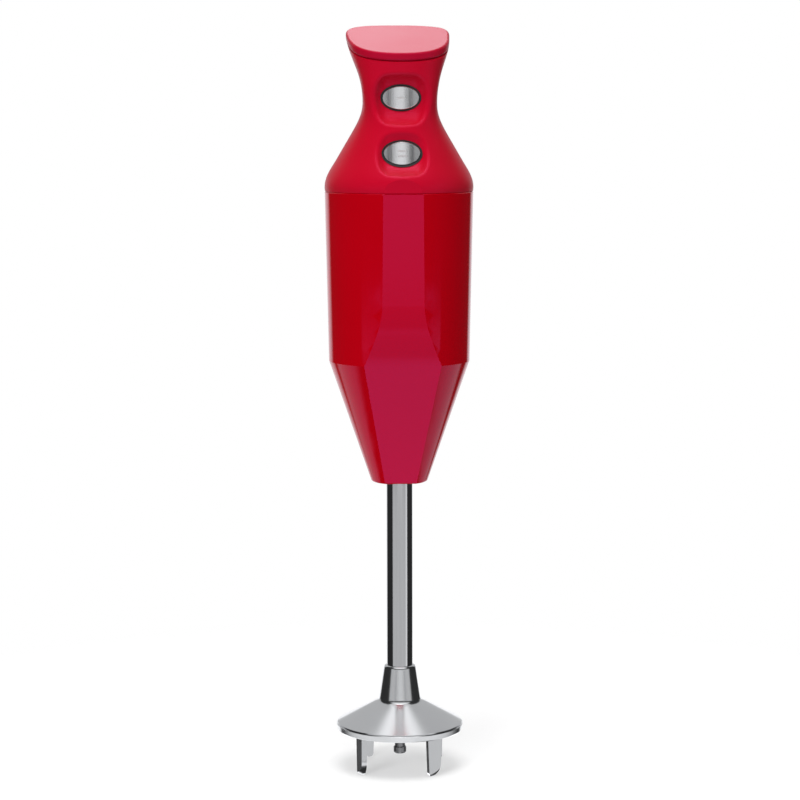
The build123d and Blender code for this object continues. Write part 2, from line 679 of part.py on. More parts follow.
with BuildPart() as switch_bracket:
    with BuildSketch(front_plane(BRACKET_BACK_Y, middle(BRACKET_LOW_EDGE_Z, BOARD_TOP_Z))):
        RectangleRounded(2 * BOARD_HALF_WIDTH, BOARD_TOP_Z - BRACKET_LOW_EDGE_Z, 2.0)
    extrude(amount=BRACKET_BACK_Y - BRACKET_FRONT_Y)
    with BuildSketch(front_plane(BOARD_FRONT_Y - SNUG, board_middle_z)):
        with GridLocations(2 * corner_x, 2 * corner_z, 2, 2):
            Circle(STANDOFF_R)
    extrude(amount=BOARD_FRONT_Y - SNUG - BRACKET_BACK_Y)
    for name, button_z, face_y, axis_z, axis_y, radius in BUTTONS:
        seat_y = face_y + BUTTON_DEPTH + FLANGE_THICKNESS + SPRING_LENGTH
        if BRACKET_FRONT_Y - seat_y > 1.0:
            with BuildSketch(front_plane(BRACKET_FRONT_Y, button_z)):
                Circle(STEM_R + SEAT_WALL)
            extrude(amount=BRACKET_FRONT_Y - seat_y)
        with BuildSketch(front_plane(BRACKET_BACK_Y + 1, button_z)):
            Circle(STEM_R + SPRING_GAP)
        extrude(amount=20, mode=Mode.SUBTRACT)
    with BuildSketch(front_plane(BRACKET_BACK_Y + 1, 0)):
        with Locations(*[(0, z) for z in POST_HEIGHTS]):
            Circle(BRACKET_HOLE_R)
    extrude(amount=4, mode=Mode.SUBTRACT)
    with BuildSketch(front_plane(BOARD_FRONT_Y, board_middle_z)):
        with GridLocations(2 * corner_x, 2 * corner_z, 2, 2):
            Circle(BOARD_PILOT_R)
    extrude(amount=5, mode=Mode.SUBTRACT)
save(switch_bracket, "switch_bracket")

with BuildPart() as bracket_screws:
    with BuildSketch(front_plane(BRACKET_BACK_Y + SNUG, 0)):
        with Locations(*[(0, z) for z in POST_HEIGHTS]):
            Circle(BRACKET_SCREW_R)
    extrude(amount=8)
    with BuildSketch(front_plane(BRACKET_BACK_Y + BRACKET_SCREW_HEAD, 0)):
        with Locations(*[(0, z) for z in POST_HEIGHTS]):
            Circle(BRACKET_SCREW_HEAD_R)
    extrude(amount=BRACKET_SCREW_HEAD - SNUG)
save(bracket_screws, "bracket_screws")

with BuildPart() as switch_board:
    with BuildSketch(front_plane(BOARD_BACK_Y, board_middle_z)):
        RectangleRounded(2 * BOARD_HALF_WIDTH, board_height, 1.0)
        with GridLocations(2 * corner_x, 2 * corner_z, 2, 2):
            Circle(BOARD_HOLE_R, mode=Mode.SUBTRACT)
        with Locations((0, POST_HEIGHTS[1] - board_middle_z)):
            Circle(POST_R, mode=Mode.SUBTRACT)
    extrude(amount=BOARD_BACK_Y - BOARD_FRONT_Y)
save(switch_board, "switch_board")

with BuildPart() as board_screws:
    with BuildSketch(front_plane(BOARD_BACK_Y + BOARD_SCREW_HEAD, board_middle_z)):
        with GridLocations(2 * corner_x, 2 * corner_z, 2, 2):
            Circle(STANDOFF_R)
    extrude(amount=BOARD_SCREW_HEAD - SNUG)
    with BuildSketch(front_plane(BOARD_BACK_Y + 1.0, board_middle_z)):
        with GridLocations(2 * corner_x, 2 * corner_z, 2, 2):
            Circle(BOARD_SCREW_R)
    extrude(amount=5.5)
save(board_screws, "board_screws")

for name, button_z, face_y, axis_z, axis_y, radius in BUTTONS:
    with BuildPart() as micro_switch:
        with BuildSketch(front_plane(BOARD_FRONT_Y - SNUG, button_z)):
            RectangleRounded(SWITCH_WIDTH, SWITCH_HEIGHT, 0.5)
        extrude(amount=BOARD_FRONT_Y - SNUG - SWITCH_FRONT_Y)
        with BuildSketch(front_plane(3.2, button_z)):
            Circle(PLUNGER_R + 0.1)
        extrude(amount=6, mode=Mode.SUBTRACT)
    save(micro_switch, f"micro_switch_{name}")

    with BuildPart() as plunger:
        with BuildSketch(front_plane(PLUNGER_END_Y, button_z)):
            Circle(PLUNGER_R)
        extrude(amount=PLUNGER_END_Y - STEM_END_Y - 0.1)
    save(plunger, f"switch_plunger_{name}")

with BuildPart() as suppressor_capacitor:
    with Locations((0, BOARD_BACK_Y + SNUG + 2.5, 304.5)):
        Box(10.0, 5.0, 9.0)
    fillet(edges(), 0.5)
save(suppressor_capacitor, "suppressor_capacitor")

with BuildPart() as speed_diode:
    with Locations((-3.0, BOARD_BACK_Y + SNUG + 1.5, 284.0)):
        Cylinder(1.5, 5.2, rotation=(0, 90, 0))
save(speed_diode, "speed_diode")

# ---------------------------------------------------------------- motor: fixed pieces

bolt_places = [(BOLT_X, BOLT_Y), (-BOLT_X, -BOLT_Y)]

with BuildPart() as stator_core:
    with BuildSketch(Plane.XY.offset(STATOR_LOW_Z)):
        Circle(STATOR_R)
        Rectangle(WIDE, STATOR_DEPTH, mode=Mode.INTERSECT)
        Rectangle(44.0, 32.0, mode=Mode.SUBTRACT)
        Rectangle(45.0, 2 * POLE_HALF_HEIGHT)
        Circle(16.1)
        Circle(STATOR_BORE_R, mode=Mode.SUBTRACT)
        with Locations(*bolt_places):
            Circle(BOLT_HOLE_R, mode=Mode.SUBTRACT)
    extrude(amount=STATOR_TOP_Z - STATOR_LOW_Z)
save(stator_core, "stator_core")

coil_overhang = 5.5
for side, x in (("right", 19.0), ("left", -19.0)):
    with BuildPart() as coil:
        with Locations((x, 0, middle(STATOR_LOW_Z, STATOR_TOP_Z))):
            Box(5.0, 31.0, STATOR_TOP_Z - STATOR_LOW_Z + 2 * coil_overhang)
            fillet(edges().filter_by(Axis.X), 3.0)
            Box(
                6.0,
                2 * POLE_HALF_HEIGHT + 0.4,
                STATOR_TOP_Z - STATOR_LOW_Z + 0.4,
                mode=Mode.SUBTRACT,
            )
    save(coil, f"field_coil_{side}")

with BuildPart() as lower_bracket:
    with BuildSketch(Plane.XY.offset(BRACKET_LOW_Z)):
        Ellipse(25.5, 22.6)
    extrude(amount=BRACKET_PLATE)
    with BuildSketch(Plane.XY.offset(LOWER_BEARING_Z)):
        Circle(BEARING_HOUSE_R)
    extrude(amount=BRACKET_LOW_Z - LOWER_BEARING_Z)
    add(rods(bolt_places, BOLT_POST_R, BRACKET_LOW_Z + BRACKET_PLATE, STATOR_LOW_Z - SNUG))
    with Locations((0, 0, LOWER_BEARING_Z)):
        Cylinder(BEARING_R + SNUG, 2 * BEARING_WIDTH + 2 * SNUG, mode=Mode.SUBTRACT)
        Cylinder(5.0, 40, mode=Mode.SUBTRACT)
    add(rods(bolt_places, BOLT_HOLE_R, BRACKET_LOW_Z - 1, STATOR_LOW_Z), mode=Mode.SUBTRACT)
save(lower_bracket, "lower_bracket")

with BuildPart() as upper_bracket:
    with BuildSketch(Plane.XY.offset(BRACKET_TOP_Z)):
        Circle(28.8)
        Rectangle(WIDE, 50.0, mode=Mode.INTERSECT)
        with Locations(*screw_places):
            Circle(1.6, mode=Mode.SUBTRACT)
    extrude(amount=BRACKET_PLATE)
    with BuildSketch(Plane.XY.offset(UPPER_BEARING_Z - 1)):
        Circle(BEARING_HOUSE_R)
    extrude(amount=BRACKET_TOP_Z - UPPER_BEARING_Z + 1)
    add(rods(bolt_places, BOLT_POST_R, STATOR_TOP_Z + SNUG, BRACKET_TOP_Z))
    with Locations((0, 0, UPPER_BEARING_Z + BEARING_WIDTH)):
        Cylinder(BEARING_R + SNUG, 2 * BEARING_WIDTH + 2 * SNUG, mode=Mode.SUBTRACT)
        Cylinder(5.0, 40, mode=Mode.SUBTRACT)
    add(rods(bolt_places, BOLT_HOLE_R, STATOR_TOP_Z - 1, BRACKET_TOP_Z + 5), mode=Mode.SUBTRACT)
save(upper_bracket, "upper_bracket")

motor_cushion = ring_piece(18.0, 14.5, 179.0 + SNUG, BRACKET_LOW_Z - SNUG)
save(motor_cushion, "motor_cushion")

for end, low_z in (("lower", LOWER_BEARING_Z), ("upper", UPPER_BEARING_Z)):
    with BuildPart() as bearing:
        with BuildSketch(Plane.XY.offset(low_z)):
            Circle(BEARING_R)
            Circle(MOTOR_SHAFT_R + RUNNING, mode=Mode.SUBTRACT)
        extrude(amount=BEARING_WIDTH)
        for face_z in (low_z, low_z + BEARING_WIDTH - 0.4):
            with BuildSketch(Plane.XY.offset(face_z)):
                Circle(6.4)
                Circle(4.2, mode=Mode.SUBTRACT)
            extrude(amount=0.4, mode=Mode.SUBTRACT)
    save(bearing, f"{end}_bearing")

with BuildPart() as motor_bolts:
    add(rods(bolt_places, BOLT_R, BRACKET_LOW_Z - 3, BRACKET_TOP_Z + BRACKET_PLATE + 1))
    add(rods(bolt_places, 2.7, BRACKET_TOP_Z + BRACKET_PLATE + SNUG, BRACKET_TOP_Z + 5.2))
    with BuildSketch(Plane.XY.offset(BRACKET_LOW_Z - 2.4)):
        with Locations(*bolt_places):
            RegularPolygon(2.6, 6)
    extrude(amount=2.4 - SNUG)
save(motor_bolts, "motor_bolts")

with BuildPart() as motor_screws:
    add(rods(screw_places, MOTOR_SCREW_R, MOTOR_PILOT_LOW_Z + 2, BRACKET_TOP_Z + 4))
    add(rods(screw_places, SCREW_HEAD_R, BRACKET_TOP_Z + BRACKET_PLATE + SNUG, BRACKET_TOP_Z + 5.0))
save(motor_screws, "motor_screws")

for side, sign in (("right", 1), ("left", -1)):
    with BuildPart() as holder:
        with Locations((sign * 18.0, 0, BRUSH_Z)):
            Box(15.0, HOLDER_WIDTH, HOLDER_HEIGHT)
        with Locations((sign * 23.0, 0, middle(BRUSH_Z, BRACKET_TOP_Z))):
            Box(5.0, HOLDER_WIDTH, BRACKET_TOP_Z - BRUSH_Z - 2 * SNUG)
        with Locations((sign * 17.0, 0, BRUSH_Z)):
            Box(15.0, BRUSH_WIDTH + 0.1, BRUSH_HEIGHT + 0.1, mode=Mode.SUBTRACT)
    save(holder, f"brush_holder_{side}")

    with BuildPart() as brush:
        with Locations((sign * 12.6, 0, BRUSH_Z)):
            Box(8.6, BRUSH_WIDTH, BRUSH_HEIGHT)
        with Locations((0, 0, BRUSH_Z)):
            Cylinder(COMMUTATOR_R + RUNNING, 20, mode=Mode.SUBTRACT)
    save(brush, f"brush_{side}")

    with BuildPart() as brush_spring:
        with BuildSketch(Plane.YZ.offset(sign * 16.95)):
            with Locations((0, BRUSH_Z)):
                Circle(2.2)
                Circle(1.5, mode=Mode.SUBTRACT)
        extrude(amount=sign * 7.4)
    save(brush_spring, f"brush_spring_{side}")

# ---------------------------------------------------------------- rotor: everything that spins

with BuildPart() as drive_shaft:
    with BuildSketch(Plane.XY.offset(KNOB_LOW_Z)):
        Circle(KNOB_R)
    extrude(amount=KNOB_TOP_Z - KNOB_LOW_Z)
    fillet(edges().group_by(Axis.Z)[0], 0.9)
    chamfer(edges().group_by(Axis.Z)[-1], 0.4)
    with BuildSketch(Plane.XY.offset(KNOB_LOW_Z - 1)):
        with PolarLocations(KNOB_R + 0.1, 6):
            Circle(0.35)
    extrude(amount=KNOB_TOP_Z - KNOB_LOW_Z + 2, mode=Mode.SUBTRACT)
    with BuildSketch(Plane.XY.offset(KNOB_TOP_Z - 1)):
        Circle(SHAFT_R)
    extrude(amount=SHAFT_TOP_Z - KNOB_TOP_Z + 1)
save(drive_shaft, "drive_shaft")

with BuildPart() as motor_shaft:
    with BuildSketch(Plane.XY.offset(MOTOR_SHAFT_LOW_Z)):
        Circle(MOTOR_SHAFT_R)
    extrude(amount=MOTOR_SHAFT_TOP_Z - MOTOR_SHAFT_LOW_Z)
    chamfer(edges().filter_by(GeomType.CIRCLE), 0.4)
save(motor_shaft, "motor_shaft")

hub_top_z = COUPLING_LOW_Z + COUPLING_HUB
upper_hub_z = hub_top_z + COUPLING_MIDDLE

with BuildPart() as coupling_lower:
    with BuildSketch(Plane.XY.offset(COUPLING_LOW_Z)):
        Circle(COUPLING_R)
        Circle(SHAFT_R + SNUG, mode=Mode.SUBTRACT)
    extrude(amount=COUPLING_HUB - SNUG)
    with Locations((0, 0, hub_top_z)):
        Box(WIDE, 2.6, 2 * TONGUE, mode=Mode.SUBTRACT)
save(coupling_lower, "coupling_lower")

with BuildPart() as coupling_upper:
    with BuildSketch(Plane.XY.offset(upper_hub_z + SNUG)):
        Circle(COUPLING_R)
        Circle(MOTOR_SHAFT_R + SNUG, mode=Mode.SUBTRACT)
    extrude(amount=COUPLING_HUB - SNUG)
    with Locations((0, 0, upper_hub_z)):
        Box(2.6, WIDE, 2 * TONGUE, mode=Mode.SUBTRACT)
save(coupling_upper, "coupling_upper")

with BuildPart() as coupling_disc:
    with BuildSketch(Plane.XY.offset(hub_top_z)):
        Circle(COUPLING_R)
    extrude(amount=COUPLING_MIDDLE)
    with Locations((0, 0, hub_top_z)):
        Box(2 * COUPLING_R - 1, 2.5, 2 * TONGUE - 0.2)
    with Locations((0, 0, upper_hub_z)):
        Box(2.5, 2 * COUPLING_R - 1, 2 * TONGUE - 0.2)
    with Locations((0, 0, hub_top_z)):
        Cylinder(MOTOR_SHAFT_R + 0.3, 40, mode=Mode.SUBTRACT)
save(coupling_disc, "coupling_disc")

slot_count = 12
slot_depth = 6.0
slot_width = 2.4
slot_middle_r = ARMATURE_R - slot_depth / 2

with BuildPart() as armature_core:
    with BuildSketch(Plane.XY.offset(STATOR_LOW_Z)):
        Circle(ARMATURE_R)
        with PolarLocations(slot_middle_r + 0.5, slot_count):
            Rectangle(slot_depth + 1, slot_width, mode=Mode.SUBTRACT)
        Circle(MOTOR_SHAFT_R + SNUG, mode=Mode.SUBTRACT)
    extrude(amount=STATOR_TOP_Z - STATOR_LOW_Z)
save(armature_core, "armature_core")

with BuildPart() as armature_winding:
    for low_z, high_z in ((190.0, STATOR_LOW_Z - SNUG), (STATOR_TOP_Z + SNUG, 239.0)):
        with BuildSketch(Plane.XY.offset(low_z)):
            Circle(ARMATURE_R - 0.8)
            Circle(MOTOR_SHAFT_R + 0.6, mode=Mode.SUBTRACT)
        extrude(amount=high_z - low_z)
    fillet(edges().filter_by(GeomType.CIRCLE).group_by(SortBy.RADIUS)[-1], 1.6)
    with BuildSketch(Plane.XY.offset(STATOR_LOW_Z - 2)):
        with PolarLocations(slot_middle_r - 0.3, slot_count):
            Rectangle(slot_depth - 1, slot_width - 2 * SNUG)
    extrude(amount=STATOR_TOP_Z - STATOR_LOW_Z + 4)
save(armature_winding, "armature_winding")

with BuildPart() as commutator:
    with BuildSketch(Plane.XY.offset(COMMUTATOR_LOW_Z)):
        Circle(COMMUTATOR_R + 1)
    extrude(amount=2)
    with BuildSketch(Plane.XY.offset(COMMUTATOR_LOW_Z)):
        Circle(COMMUTATOR_R)
    extrude(amount=COMMUTATOR_TOP_Z - COMMUTATOR_LOW_Z)
    with BuildSketch(Plane.XY.offset(COMMUTATOR_LOW_Z - 1)):
        with PolarLocations(COMMUTATOR_R + 1, 2 * slot_count):
            Rectangle(3.0, 0.5)
        Circle(MOTOR_SHAFT_R + SNUG)
    extrude(amount=20, mode=Mode.SUBTRACT)
save(commutator, "commutator")
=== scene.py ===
# %% [markdown]
# # A stick blender on a white table
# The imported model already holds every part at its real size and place. Modelling them again
# here would make a second set of sizes to keep in step, so they are loaded as they are and only
# get finishes. The script also winds the springs that the model only blocks out, and sets up a
# small studio. Each step first says what the real thing is, then builds it.

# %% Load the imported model
import json
import math

import bmesh
import bpy
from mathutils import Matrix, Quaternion, Vector


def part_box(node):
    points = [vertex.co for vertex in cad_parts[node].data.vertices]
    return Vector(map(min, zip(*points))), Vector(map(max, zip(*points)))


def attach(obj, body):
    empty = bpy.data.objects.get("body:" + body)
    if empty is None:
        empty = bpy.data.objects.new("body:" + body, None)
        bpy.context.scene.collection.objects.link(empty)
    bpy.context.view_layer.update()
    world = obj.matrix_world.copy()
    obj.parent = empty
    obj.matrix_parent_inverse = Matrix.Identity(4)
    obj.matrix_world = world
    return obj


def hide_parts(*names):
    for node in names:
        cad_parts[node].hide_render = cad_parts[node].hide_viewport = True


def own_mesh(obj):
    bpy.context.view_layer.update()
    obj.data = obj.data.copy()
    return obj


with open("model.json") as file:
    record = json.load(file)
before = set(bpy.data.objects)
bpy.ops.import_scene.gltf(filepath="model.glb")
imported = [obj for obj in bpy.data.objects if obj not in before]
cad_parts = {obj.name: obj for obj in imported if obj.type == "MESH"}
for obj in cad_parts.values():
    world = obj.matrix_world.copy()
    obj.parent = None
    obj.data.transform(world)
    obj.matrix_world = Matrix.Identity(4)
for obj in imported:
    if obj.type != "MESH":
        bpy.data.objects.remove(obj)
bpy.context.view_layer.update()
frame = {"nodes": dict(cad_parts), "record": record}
slot_of_node = {part["node"]: part["material_slot"] for part in frame["record"]["subparts"]}

# %% [markdown]
# ## Camera
# A slim object looks best through a long lens from a little over a metre: its sides then stay
# nearly parallel. A short lens from close by would fill the picture as well, but it would make
# the near handle look large and the guard small. The camera stands level with the buttons and
# looks slightly down, so that the guard is seen from above and the housing almost straight on.
# It stands a few degrees to the left of the front face and is rolled by a tenth of a degree.

# %% Place the camera
CAMERA_TURN = math.radians(-3.5)
CAMERA_DISTANCE = 1.130
CAMERA_HEIGHT = 0.308
AIM_HEIGHT = 0.1707
AIM_RIGHT = 0.0003
CAMERA_ROLL = math.radians(-0.095)
LENS_MM = 112.6
SENSOR_MM = 36.0

camera_data = bpy.data.cameras.new("camera")
camera_data.lens = LENS_MM
camera_data.sensor_width = SENSOR_MM
camera = bpy.data.objects.new("camera", camera_data)
bpy.context.collection.objects.link(camera)
bpy.context.scene.camera = camera
camera.location = (
    CAMERA_DISTANCE * math.sin(CAMERA_TURN),
    -CAMERA_DISTANCE * math.cos(CAMERA_TURN),
    CAMERA_HEIGHT,
)
aim = Vector((AIM_RIGHT * math.cos(CAMERA_TURN), AIM_RIGHT * math.sin(CAMERA_TURN), AIM_HEIGHT))
facing = (aim - camera.location).to_track_quat("-Z", "Y")
camera.rotation_euler = (facing @ Quaternion((0.0, 0.0, 1.0), CAMERA_ROLL)).to_euler()
print("camera at", tuple(round(v, 3) for v in camera.location))

# %% [markdown]
# ## Node arithmetic
# A shader is a formula, and a formula is easiest to read as one. Placing and wiring every node
# by hand would take a page for one mask. Instead, the class below wraps a node's
# output, so that `1 - mask * 0.2` adds the Math nodes by itself. Colours and vectors have their
# own methods, because a Math node would turn a colour grey. Every other node comes from one
# method, `node`, which sets a node's own settings before its sockets.


# %% Wrap a socket
class Signal:
    """An output of a node tree that takes part in Python arithmetic."""

    def __init__(self, tree, socket=None):
        self.tree = tree
        self.socket = socket

    def node(self, kind, settings=None, sockets=None, output=0):
        """Add a node, set it up, wire it and wrap the output that is asked for."""
        made = self.tree.nodes.new(kind)
        for name, value in (settings or {}).items():
            setattr(made, name, value)
        for name, value in (sockets or {}).items():
            if isinstance(value, Signal):
                self.tree.links.new(value.socket, made.inputs[name])
            else:
                made.inputs[name].default_value = value
        return Signal(self.tree, made.outputs[output] if made.outputs else None)

    def math(self, operation, first, second=0.0):
        return self.node("ShaderNodeMath", {"operation": operation}, {0: first, 1: second})

    def __add__(self, other):
        return self.math("ADD", self, other)

    __radd__ = __add__

    def __mul__(self, other):
        return self.math("MULTIPLY", self, other)

    __rmul__ = __mul__

    def __sub__(self, other):
        return self.math("SUBTRACT", self, other)

    def __rsub__(self, other):
        return self.math("SUBTRACT", other, self)

    def ramp(self, low, high):
        """A soft step: 0 below low, 1 above high, in either order."""
        sockets = {"Value": self, "From Min": low, "From Max": high}
        return self.node("ShaderNodeMapRange", {"interpolation_type": "SMOOTHSTEP"}, sockets)

    def scaled(self, factors):
        """A vector with each of its parts multiplied."""
        return self.node("ShaderNodeVectorMath", {"operation": "MULTIPLY"}, {0: self, 1: factors})

    def parts(self):
        """The X, Y and Z of a vector."""
        made = self.node("ShaderNodeSeparateXYZ", None, {"Vector": self}).socket.node
        return [Signal(self.tree, plug) for plug in made.outputs]

    def tint(self, low_colour, high_colour):
        """A colour between two others, by this value."""
        sockets = {0: self, 6: (*low_colour, 1.0), 7: (*high_colour, 1.0)}
        return self.node("ShaderNodeMix", {"data_type": "RGBA"}, sockets, output=2)

    def noise(self, where, scale, detail=3.0, roughness=0.5):
        """Cloudy noise between 0 and 1, with this many lumps in a metre."""
        sockets = {"Vector": where, "Scale": scale, "Detail": detail, "Roughness": roughness}
        return self.node("ShaderNodeTexNoise", None, sockets)

    def bump(self, height, depth, strength=1.0):
        """A normal from a height between 0 and 1, which stands for this depth in metres."""
        sockets = {"Height": height, "Distance": depth, "Strength": strength}
        return self.node("ShaderNodeBump", None, sockets)


print("socket arithmetic is ready")

# %% [markdown]
# ## Studio
# A glossy thing looks like what stands around it. Here a bright front and back give the steel
# tube its light centre and the red plastic its pale outline, and the dark sides draw the
# near-black bands on the tube. A box behind lights the cap, and a high soft box lights the finger
# scoops. Bright cards on stands could do all this, but they would be noisy and get in the way of
# other views, so the studio is painted on the sky by direction. In the formulas, `side` is how
# far to either side of the front a direction lies, `turn` is the same with a sign, and `rise` is
# its height above the horizon, all in degrees. Rays that light matt surfaces see a softer glow
# instead, and the camera itself sees plain white.


# %% Paint the studio on the sky
WHITE = (1.0, 1.0, 1.0, 1.0)
COOL_WHITE = (0.975, 0.985, 1.0, 1.0)
ROOM_LEVEL = 0.03


def studio_sky():
    world = bpy.data.worlds.new("studio")
    bpy.context.scene.world = world
    world.use_nodes = True
    tree = world.node_tree
    tree.nodes.clear()
    sky = Signal(tree)
    across, depth, up = sky.node("ShaderNodeTexCoord").parts()
    turn = sky.math("ARCTAN2", across, 0.0 - depth) * math.degrees(1.0)
    side = sky.math("ABSOLUTE", turn)
    rise = sky.math("ARCSINE", up) * math.degrees(1.0)

    # Below the horizon, in place of the table, which reflections don't see: a wide pale band in
    # front with a lighter strip at one end, a bright ring close by, and a bright narrow middle
    table_band = rise.ramp(-6.0, -9.0) * rise.ramp(-22.0, -18.0)
    near_table = rise.ramp(-20.5, -23.5) * rise.ramp(-37.0, -33.0)
    below_bands = (1.0 - table_band) * (1.0 - near_table)
    wide = table_band * side.ramp(68.0, 65.0)
    strip = table_band * turn.ramp(50.0, 53.0) * side.ramp(68.0, 65.0)
    narrow = side.ramp(24.0, 20.0) * rise.ramp(4.0, -1.0) * below_bands
    low_front = side.ramp(24.0, 20.0) * rise.ramp(-33.0, -40.0)

    # Around the horizon: two wings that the buttons mirror, with dark gaps beside the middle
    level = rise.ramp(-2.2, -1.6) * rise.ramp(1.2, 0.7)
    wings = level * side.ramp(31.0, 36.0) * side.ramp(66.0, 60.0)
    gaps = level * side.ramp(10.0, 14.0) * side.ramp(34.0, 29.0)
    high_front = side.ramp(68.0, 65.0) * rise.ramp(0.8, 1.3) * rise.ramp(26.0, 12.0)

    # Behind the object: a wall, and the box that the sloping cap mirrors
    low_back = side.ramp(140.0, 151.0) * rise.ramp(8.0, 3.0)
    high_back = side.ramp(126.0, 138.0) * rise.ramp(3.0, 8.0)
    back_box = side.ramp(166.0, 175.0) * rise.ramp(14.0, 26.0) * rise.ramp(64.0, 54.0)

    # Above: a pale ceiling with a soft box in it, and a softer one towards the front
    overhead = rise.ramp(60.0, 68.0)
    soft_box = rise.ramp(76.0, 85.0)
    soft_front = side.ramp(70.0, 50.0) * rise.ramp(34.0, 48.0) * rise.ramp(74.0, 66.0)

    light = ROOM_LEVEL + 0.60 * wide + 0.34 * strip + 1.05 * narrow
    light = light + 0.50 * low_front + 0.85 * near_table
    light = light + 0.62 * wings + 0.50 * high_front + 1.05 * low_back + 0.46 * high_back
    light = light + 2.75 * back_box + 0.62 * overhead + 5.20 * soft_box + 0.80 * soft_front
    light = light * (1.0 - 0.90 * gaps)
    around = 0.34 + 0.20 * side.ramp(60.0, 150.0) + 0.25 * up.ramp(0.0, 1.0)

    def glow(colour, strength):
        return sky.node("ShaderNodeBackground", None, {"Color": colour, "Strength": strength})

    mirrored = glow(COOL_WHITE, light)
    spread = glow(WHITE, around)
    seen = glow(WHITE, 1.0)
    diffuse_ray = sky.node("ShaderNodeLightPath", output="Is Diffuse Ray")
    camera_ray = sky.node("ShaderNodeLightPath", output="Is Camera Ray")
    lit = sky.node("ShaderNodeMixShader", None, {0: diffuse_ray, 1: mirrored, 2: spread})
    mixed = sky.node("ShaderNodeMixShader", None, {0: camera_ray, 1: lit, 2: seen})
    sky.node("ShaderNodeOutputWorld", None, {"Surface": mixed})


studio_sky()
bpy.context.scene.view_settings.view_transform = "Standard"
print("studio painted")

# %% [markdown]
# The sky alone would light the body so evenly that it looked flat. So a key light stands front
# left and a weaker one front right, which turns the round body from bright to deep red, and a
# third lamp hangs above. They are hidden from reflections, where the painted studio already
# shows.


# %% Add the lamps
def area_light(name, place, target, size, power):
    data = bpy.data.lights.new(name, "AREA")
    data.shape = "DISK"
    data.size = size
    data.energy = power
    lamp = bpy.data.objects.new(name, data)
    bpy.context.collection.objects.link(lamp)
    lamp.location = place
    lamp.rotation_euler = (Vector(target) - Vector(place)).to_track_quat("-Z", "Y").to_euler()
    lamp.visible_glossy = False


middle_of_body = (0.0, 0.0, 0.22)
area_light("key_light", (-0.75, -1.15, 0.50), middle_of_body, 0.6, 10.0)
area_light("fill_light", (1.2, -0.5, 0.5), middle_of_body, 0.9, 1.2)
area_light("top_light", (0.0, -0.4, 1.3), middle_of_body, 0.7, 9.0)

# %% [markdown]
# ## Table
# The table is a plain pale sheet. A curved paper backdrop could hide its far edge from one side.
# Fading the sheet out to the white background does it from every side, so no horizon line runs
# behind the object.

# %% Lay the table
TABLE_REACH = 1.6
FADE_START = 0.08
FADE_END = 0.34
GLOW_SHARE = 0.45


def table():
    mesh = bpy.data.meshes.new("table")
    far = TABLE_REACH
    corners = [(-far, -far, 0), (far, -far, 0), (far, far, 0), (-far, far, 0)]
    mesh.from_pydata(corners, [], [(0, 1, 2, 3)])
    sheet = bpy.data.objects.new("table", mesh)
    bpy.context.collection.objects.link(sheet)
    material = bpy.data.materials.new("table_paper")
    material.use_nodes = True
    tree = material.node_tree
    tree.nodes.clear()
    paper = Signal(tree)
    place = paper.node("ShaderNodeTexCoord", output="Object")
    distance = paper.node("ShaderNodeVectorMath", {"operation": "LENGTH"}, {0: place}, output="Value")
    grain = paper.noise(place, 900.0)
    matt = paper.node("ShaderNodeBsdfDiffuse", None, {"Color": grain.tint((0.90,) * 3, (0.94,) * 3)})
    glow = paper.node("ShaderNodeEmission", None, {"Color": WHITE, "Strength": 1.0})
    lifted = paper.node("ShaderNodeMixShader", None, {0: GLOW_SHARE, 1: matt, 2: glow})
    clear = paper.node("ShaderNodeBsdfTransparent")
    edge = distance.ramp(FADE_START, FADE_END)
    mixed = paper.node("ShaderNodeMixShader", None, {0: edge, 1: lifted, 2: clear})
    paper.node("ShaderNodeOutputMaterial", None, {"Surface": mixed})
    mesh.materials.append(material)
    sheet.visible_glossy = False


table()
print("table laid")

# %% [markdown]
# ## Finishes
# Every finish is a Principled surface. A plain colour would do for a diagram, but no real
# surface is quite even. What is the same all over is set on the shader itself, and what varies,
# such as grain, wear or brushing, comes from noise in metres, so it keeps its real scale on
# every part.


# %% Start a finish
def finish(name, constants, varying):
    """A material whose shader takes constant settings and a few varying signals."""
    material = bpy.data.materials.new(name)
    material.use_nodes = True
    tree = material.node_tree
    tree.nodes.clear()
    start = Signal(tree)
    where = start.node("ShaderNodeTexCoord", output="Object")
    sockets = dict(constants)
    sockets.update(varying(start, where))
    shader = start.node("ShaderNodeBsdfPrincipled", None, sockets)
    start.node("ShaderNodeOutputMaterial", None, {"Surface": shader})
    return material


def axial(where, scale):
    """Noise stretched along Z, as brushing or drawing leaves it."""
    return where.noise(where.scaled((1.0, 1.0, 0.02)), scale, detail=2.0)


print("finish maker is ready")

# %% [markdown]
# The motor body is moulded in solid red and polished. Its gloss is a sharp clear reflection with
# a faint ripple, called orange peel, and a few hairline marks from handling. The handle and the
# cap come from an etched mould, which leaves a fine satin grain. A clear coat over the colour
# could give the gloss too, but this plastic has no lacquer, so the shader's own reflection does
# it. Plastic doesn't tint what it reflects. The tint below was chosen because the light
# edges came out too grey without it.


# %% Red plastics
def housing_red(start, where):
    peel = start.noise(where, 260.0, detail=1.0)
    hairline = start.noise(where.scaled((1.0, 1.0, 0.05)), 2600.0, detail=2.0).ramp(0.66, 0.74)
    cloud = start.noise(where, 24.0)
    return {
        "Base Color": cloud.tint((0.385, 0.000, 0.003), (0.415, 0.000, 0.005)),
        "Roughness": 0.055 + 0.03 * cloud + 0.05 * hairline,
        "Normal": start.bump(peel, 0.00002, 0.35),
    }


